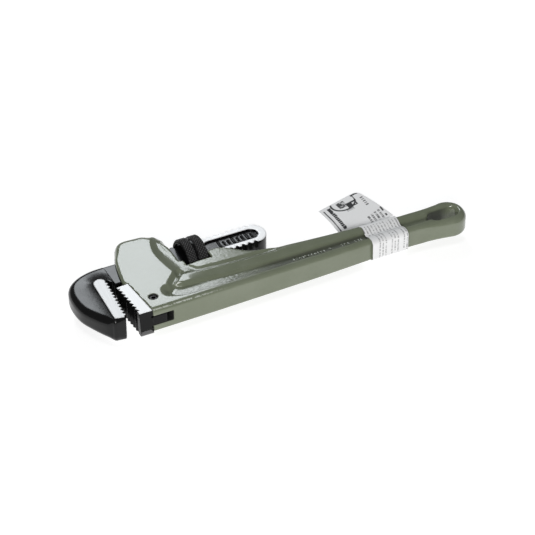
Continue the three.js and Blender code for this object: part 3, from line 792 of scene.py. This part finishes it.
def makeNut():
    n = nut
    middle = (n["start"] + n["end"]) / 2
    outside, across, inside = n["columns"]
    outer = np.linspace(n["start"], n["end"], outside)
    face = np.linspace(n["radius"] - n["chamfer"], n["root"], across + 2)[1:-1]
    inner = np.linspace(n["end"], n["start"], inside)
    x = np.concatenate([outer, np.full(across, n["end"]), inner, np.full(across, n["start"])])
    angle = np.linspace(0, 2 * math.pi, n["around"], endpoint=False)[:, None]
    ends = np.minimum(outer - n["start"], n["end"] - outer)
    radius = n["radius"] - n["chamfer"] * (1 - np.minimum(ends / n["chamfer"], 1)) ** 1.5
    inGroove = smooth((n["grooveHalf"] + 0.5 - np.abs(outer - middle)) / 0.7)
    radius = radius + (n["groove"] - radius) * inGroove
    count = n["knurlCount"]
    lead = count * outer / (2 * n["radius"]) * n["slant"]    # diamonds: two sets of slanted grooves that cross
    wave = [np.abs(np.mod(angle * count / (2 * math.pi) + s * lead / math.pi, 1) - 0.5) * 2 for s in (1, -1)]
    diamonds = np.minimum(np.minimum(wave[0], wave[1]) * 2.2, 1)
    knurled = smooth(ends / 0.9) * (1 - inGroove)
    outerRadius = radius - n["knurl"] * knurled * (1 - diamonds)
    turn = np.mod(angle / (2 * math.pi) - (inner - n["phase"]) / n["pitch"], 1)
    away = np.minimum(turn, 1 - turn) - n["ridgeTip"] / n["pitch"] / 2
    flank = (n["ridgeBase"] - n["ridgeTip"]) / 2 / n["pitch"]
    innerRadius = n["bore"] + (n["root"] - n["bore"]) * np.clip(away / flank, 0, 1)
    lip = np.minimum(inner - n["start"], n["end"] - inner) / n["lip"]
    innerRadius = innerRadius + (n["root"] - innerRadius) * np.clip(1 - lip, 0, 1)
    flat = np.broadcast_to(face, (n["around"], across))
    r = np.concatenate([outerRadius, flat, innerRadius, flat[:, ::-1]], 1)
    y, z = bench["axisY"] + r * np.cos(angle), r * np.sin(angle)
    points = np.stack([np.broadcast_to(x, r.shape), y, z], 2).reshape(-1, 3)
    polish = np.zeros(r.shape)
    polish[:, :outside] = diamonds * knurled
    faces = gridFaces(*r.shape, wrapRows=True, wrapColumns=True)
    item = makePiece("knurledNut", points, faces, "nut", ["adjusting_nut"], crease=60)
    paintPoints(item, "polish", polish)
    item.data.materials.append(blackSteel("nutSteel", [], gloss=0.14))
    print("nut", len(faces), "quads")


# ---- paper label: a band wrapped round the handle and a doubled flag past its far edge

label = {
    "thick": 0.14, "gap": 0.3, "columns": 101, "rows": 250, "sag": 1.9, "corner": 2.6,
    "left": ([0, 6, 11, 17, 30, 60], [143.4, 142.9, 142.7, 142.3, 142.6, 142.8]),     # edges along the way round
    "right": ([0, 6, 11, 17, 30, 60], [167.1, 166.9, 166.6, 166.4, 166.6, 167.0]),
    "printFrom": 142.2,
    "flag": [(133.0, 18.9, 0.6), (132.7, 49.4, 1.0), (158.6, 48.9, 8.0), (167.1, 18.6, 6.6)],    # its corners
    "flagSize": (34, 26, 31), "flagPoints": (120, 130),    # width at the band and at the free end, and length
    "paper": ((0.78, 0.78, 0.78, 1), (0.84, 0.84, 0.84, 1)), "ink": (0.012, 0.012, 0.013, 1),
}


def bandWay():    # the closed way round the handle as y and z at even lengths, from the far top edge over the top
    half, r = handleHalf(154.0) + label["gap"], label["corner"]
    near, far = -0.35 - label["gap"], 18.5 + label["gap"]
    t = np.linspace(0, 1, 120)
    quarter = np.linspace(0, math.pi / 2, 24)
    dip = label["sag"] * np.sin(math.pi * t) ** 4
    sin, cos = r * np.sin(quarter), r * np.cos(quarter)
    down = half - r - 2 * (half - r) * t
    y = [far - r + (near + 2 * r - far) * t, near + r - sin, near + 0 * t, near + r - cos,
         near + r + (far - near - 2 * r) * t, far - r + sin, far + 0 * t, far - r + cos]
    z = [half - dip, half - r + cos, down, -half + r - sin, -half + dip, -half + r - cos, -down, half - r + sin]
    y, z = np.concatenate(y), np.concatenate(z)
    along = np.concatenate([[0], np.cumsum(np.hypot(np.diff(y), np.diff(z)))])
    even = np.linspace(0, along[-1], label["rows"], endpoint=False)
    return np.interp(even, along, y), np.interp(even, along, z), even


def hashed(*cells):    # a repeatable number from 0 to 1 for each cell
    mixed = sum(c * k for c, k in zip(cells, (12.9898, 78.233, 37.719)))
    return np.mod(np.sin(mixed) * 43758.5453, 1)


def box(u, v, u0, u1, v0, v1, soft=0.12):    # 1 inside a rectangle, with soft edges
    inside = np.minimum(np.minimum(u - u0, u1 - u), np.minimum(v - v0, v1 - v))
    return smooth(inside / soft + 0.5)


def printRow(u, v, at, v0, v1, high=1.0, seed=0):    # a row of small upright strokes in word-like groups
    stroke = np.floor(v / 0.42)
    word = np.floor(v / 2.6 + 0.6 * hashed(np.floor(v / 2.6), seed))
    inked = (hashed(stroke, seed) > 0.3) & (np.mod(v / 2.6 + hashed(word, seed), 1) > 0.16)
    rise = high * (0.7 + 0.3 * hashed(stroke, seed + 5))
    return box(u, v, at - rise / 2, at + high / 2, v0, v1) * np.where(inked, 0.8, 0.12)


def bandInk(u, v):    # rows of print in two blocks, with a few short rows, and a line beside the first
    ink = np.zeros(np.broadcast(u, v).shape)
    for k, at in enumerate(0.9 + 2.05 * np.arange(12)):
        start = 0.4 + 0.5 * hashed(k, 3.0)
        stop = {0: 5.0, 1: 9.0, 5: 7.5, 9: 11.0}.get(k, 27.5 + 1.5 * hashed(k, 7.0))
        ink = np.maximum(ink, printRow(u, v, at, start, stop, 0.95, k))
        ink = np.maximum(ink, printRow(u, v, at, 33 + 2 * hashed(k, 1.0), 47, 0.95, k + 20))
    return np.maximum(0.62 * ink, 0.85 * box(u, v, 0.6, 1.3, 0.3, 5.5))


def flagInk(u, v):    # generic marks: an arc, blocks and bars
    ink = box(u, v, 1.6, 2.3, 4, 28)                                                      # a rule
    tall = 1.7 + 0.6 * hashed(np.floor(v / 1.7), 2.0)
    bold = box(u, v, 4.2, 4.2 + tall, 6, 28.5) * (np.mod(v / 1.7, 1) > 0.09)              # a bold row
    ring = np.abs(np.hypot(u - 14.6, v - 27.5) - 7.4)
    arcInk = smooth((0.55 - ring) / 0.12 + 0.5) * (u < 22) * (v < 30.3)
    plate = box(u, v, 15.2, 21.4, 20.6, 25.4) * (1 - 0.9 * box(u, v, 18.6, 20.6, 21.4, 24.0))
    stripes = 0.55 * box(u, v, 13.0, 18.0, 18.0, 20.2) * (np.mod(v / 0.55, 1) > 0.25)
    checks = 0.35 + 0.6 * (hashed(np.floor(u / 0.9), np.floor(v / 0.9)) > 0.35)
    checks = checks * box(u, v, 10.5, 15.5, 23.0, 29.2)
    for part in (bold, arcInk, plate, stripes, checks, box(u, v, 20.8, 26.0, 29.2, 30.4)):
        ink = np.maximum(ink, part)
    for k in range(5):    # five bars, in turn dark and paler
        bar = box(u, v, 24.6, 26.4, 16.2 + 1.9 * k, 17.3 + 1.9 * k)
        ink = np.maximum(ink, 0.9 * (1 - k % 2 * 0.3) * bar)
    heading = 0.95 * box(u, v, 30.2, 31.3, 2.0, 11.6) * (hashed(np.floor(v / 1.3), 4.0) > 0.12)
    ink = np.maximum(ink, heading)
    for k, stop in enumerate((9.6, 8.9, 7.9, 7.4)):
        ink = np.maximum(ink, printRow(u, v, 28.4 - 2.5 * k, 1.4, stop, 1.5, 40 + k))
    return ink


def inkedSheet(name, points, faces, ink):
    item = makePiece(name, points, faces, "handle", crease=70)
    paintPoints(item, "ink", ink)
    item.data.materials.append(labelPaper)
    thick = item.modifiers.new("thickness", "SOLIDIFY")
    thick.thickness, thick.offset = label["thick"] / 1000, 0.0
    return item


def makeBand():
    y, z, along = bandWay()
    left, right = np.interp(along, *label["left"]), np.interp(along, *label["right"])
    x = left + (right - left) * np.linspace(0, 1, label["columns"])[:, None]
    grid = np.stack([x, y + 0 * x, z + 0 * x], 2)
    faces = gridFaces(label["columns"], label["rows"], wrapColumns=True)
    ink = bandInk(x - label["printFrom"], along[None, :] + 0 * x)
    band = inkedSheet("labelBand", grid.reshape(-1, 3), faces, ink)
    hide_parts("paper_label")


def makeFlag():    # a sheet between its four corners, with its free corner rounded and a soft bow
    rows, columns = label["flagPoints"]
    u, v = np.meshgrid(np.linspace(0, 1, rows), np.linspace(0, 1, columns), indexing="ij")
    bottomLeft, topLeft, topRight, bottomRight = (np.array(c)[None, None, :] for c in label["flag"])
    wide, tall = u[..., None], v[..., None]
    bottom, top = (a * (1 - wide) + b * wide for a, b in ((bottomLeft, bottomRight), (topLeft, topRight)))
    grid = bottom * (1 - tall) + top * tall
    widest, narrowest, length = label["flagSize"]
    corner = np.maximum(u * narrowest - 23.4, 0) * np.maximum(v * length - 28.4, 0)
    grid[..., :2] -= 0.16 * corner[..., None]
    bow = 1.1 * np.sin(math.pi * v) * (1 - 0.3 * u)
    fold = 1.6 * (1 - smooth((v - 0.02) / 0.2)) * (1 - smooth((u - 0.3) / 0.3))
    grid[..., 2] += bow - fold
    width = widest - (widest - narrowest) * v
    faces = gridFaces(rows, columns)[:, [0, 3, 2, 1]]    # turned to face up
    inkedSheet("labelFlag", grid.reshape(-1, 3), faces, flagInk(u * width, v * length))
    print("label")


def makeLabelPaper():
    material, tree, shader = newMaterial("labelPaper", {"Roughness": 0.6, "Specular IOR Level": 0.3})
    ink = node(tree, "ShaderNodeAttribute", attribute_name="ink")
    place = node(tree, "ShaderNodeTexCoord")
    fibre = node(tree, "ShaderNodeTexNoise", {"Scale": 1500.0, "Detail": 3.0})
    tree.links.new(place.outputs["Object"], fibre.inputs["Vector"])
    paper = mixColour(tree, fibre.outputs["Fac"], *label["paper"])
    tree.links.new(mixColour(tree, ink.outputs["Fac"], paper, label["ink"]), shader.inputs["Base Color"])
    tree.links.new(bump(tree, fibre.outputs["Fac"], 0.15, 0.00005), shader.inputs["Normal"])
    return material


labelPaper = makeLabelPaper()


# ---- stage and light

stage = {"floor": (0.5, 0.5, 0.5, 1), "floorHalf": 4.0, "glow": 0.74, "world": 0.16}
lights = {    # place, what it faces, width and height, power and colour
    "back": ((225, 745, 660), (12, 45, 0), (330, 460), 3.05, (0.97, 1.02, 1.06)),
    "front": ((-620, -1150, 560), (80, 0, 0), (600, 450), 13, (1, 1, 1)),
    "top": ((-250, -250, 1250), (60, 20, 0), (420, 300), 2.5, (1, 1, 1)),
}


def makeStage():
    mesh = bpy.data.meshes.new("floor")
    h = stage["floorHalf"]
    mesh.from_pydata([(-h, -h, 0), (h, -h, 0), (h, h, 0), (-h, h, 0)], [], [(0, 1, 2, 3)])
    floor = bpy.data.objects.new("floor", mesh)
    bpy.context.scene.collection.objects.link(floor)
    material, tree, shader = newMaterial("floorWhite", {"Roughness": 0.9, "Specular IOR Level": 0.0})
    shader.inputs["Base Color"].default_value = stage["floor"]
    shader.inputs["Emission Color"].default_value = (1, 1, 1, 1)
    shader.inputs["Emission Strength"].default_value = stage["glow"]
    mesh.materials.append(material)
    world = bpy.data.worlds.new("studio")
    world.use_nodes = True
    world.node_tree.nodes["Background"].inputs["Color"].default_value = (1, 1, 1, 1)
    world.node_tree.nodes["Background"].inputs["Strength"].default_value = stage["world"]
    bpy.context.scene.world = world
    bpy.context.scene.view_settings.view_transform = "Standard"


def softbox(name, place, target, size, power, colour):
    data = bpy.data.lights.new(name, "AREA")
    data.shape, data.size, data.size_y = "RECTANGLE", size[0] / 1000, size[1] / 1000
    data.energy, data.color = power, colour
    item = bpy.data.objects.new(name, data)
    item.location = toRow(place)
    aim = Vector(toRow(target)) - item.location
    item.rotation_mode = "QUATERNION"
    item.rotation_quaternion = aim.to_track_quat("-Z", "Y")
    bpy.context.scene.collection.objects.link(item)


makeHandle()
makeMarks()
makeHook()
makeHeel()
makeNut()
makeBand()
makeFlag()
for name in ("heel_jaw_pin", "coil_spring", "flat_spring", "spring_rivet"):
    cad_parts[name].data.materials.clear()
    # the pin's steel is painted dark, standing for the shade in its hole
    shade = spring["pinPaintedShade"] if name == "heel_jaw_pin" else 1.0
    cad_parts[name].data.materials.append(springSteel(shade))
makeStage()
for name, settings in lights.items():
    softbox(name, *settings)
print("lights placed")
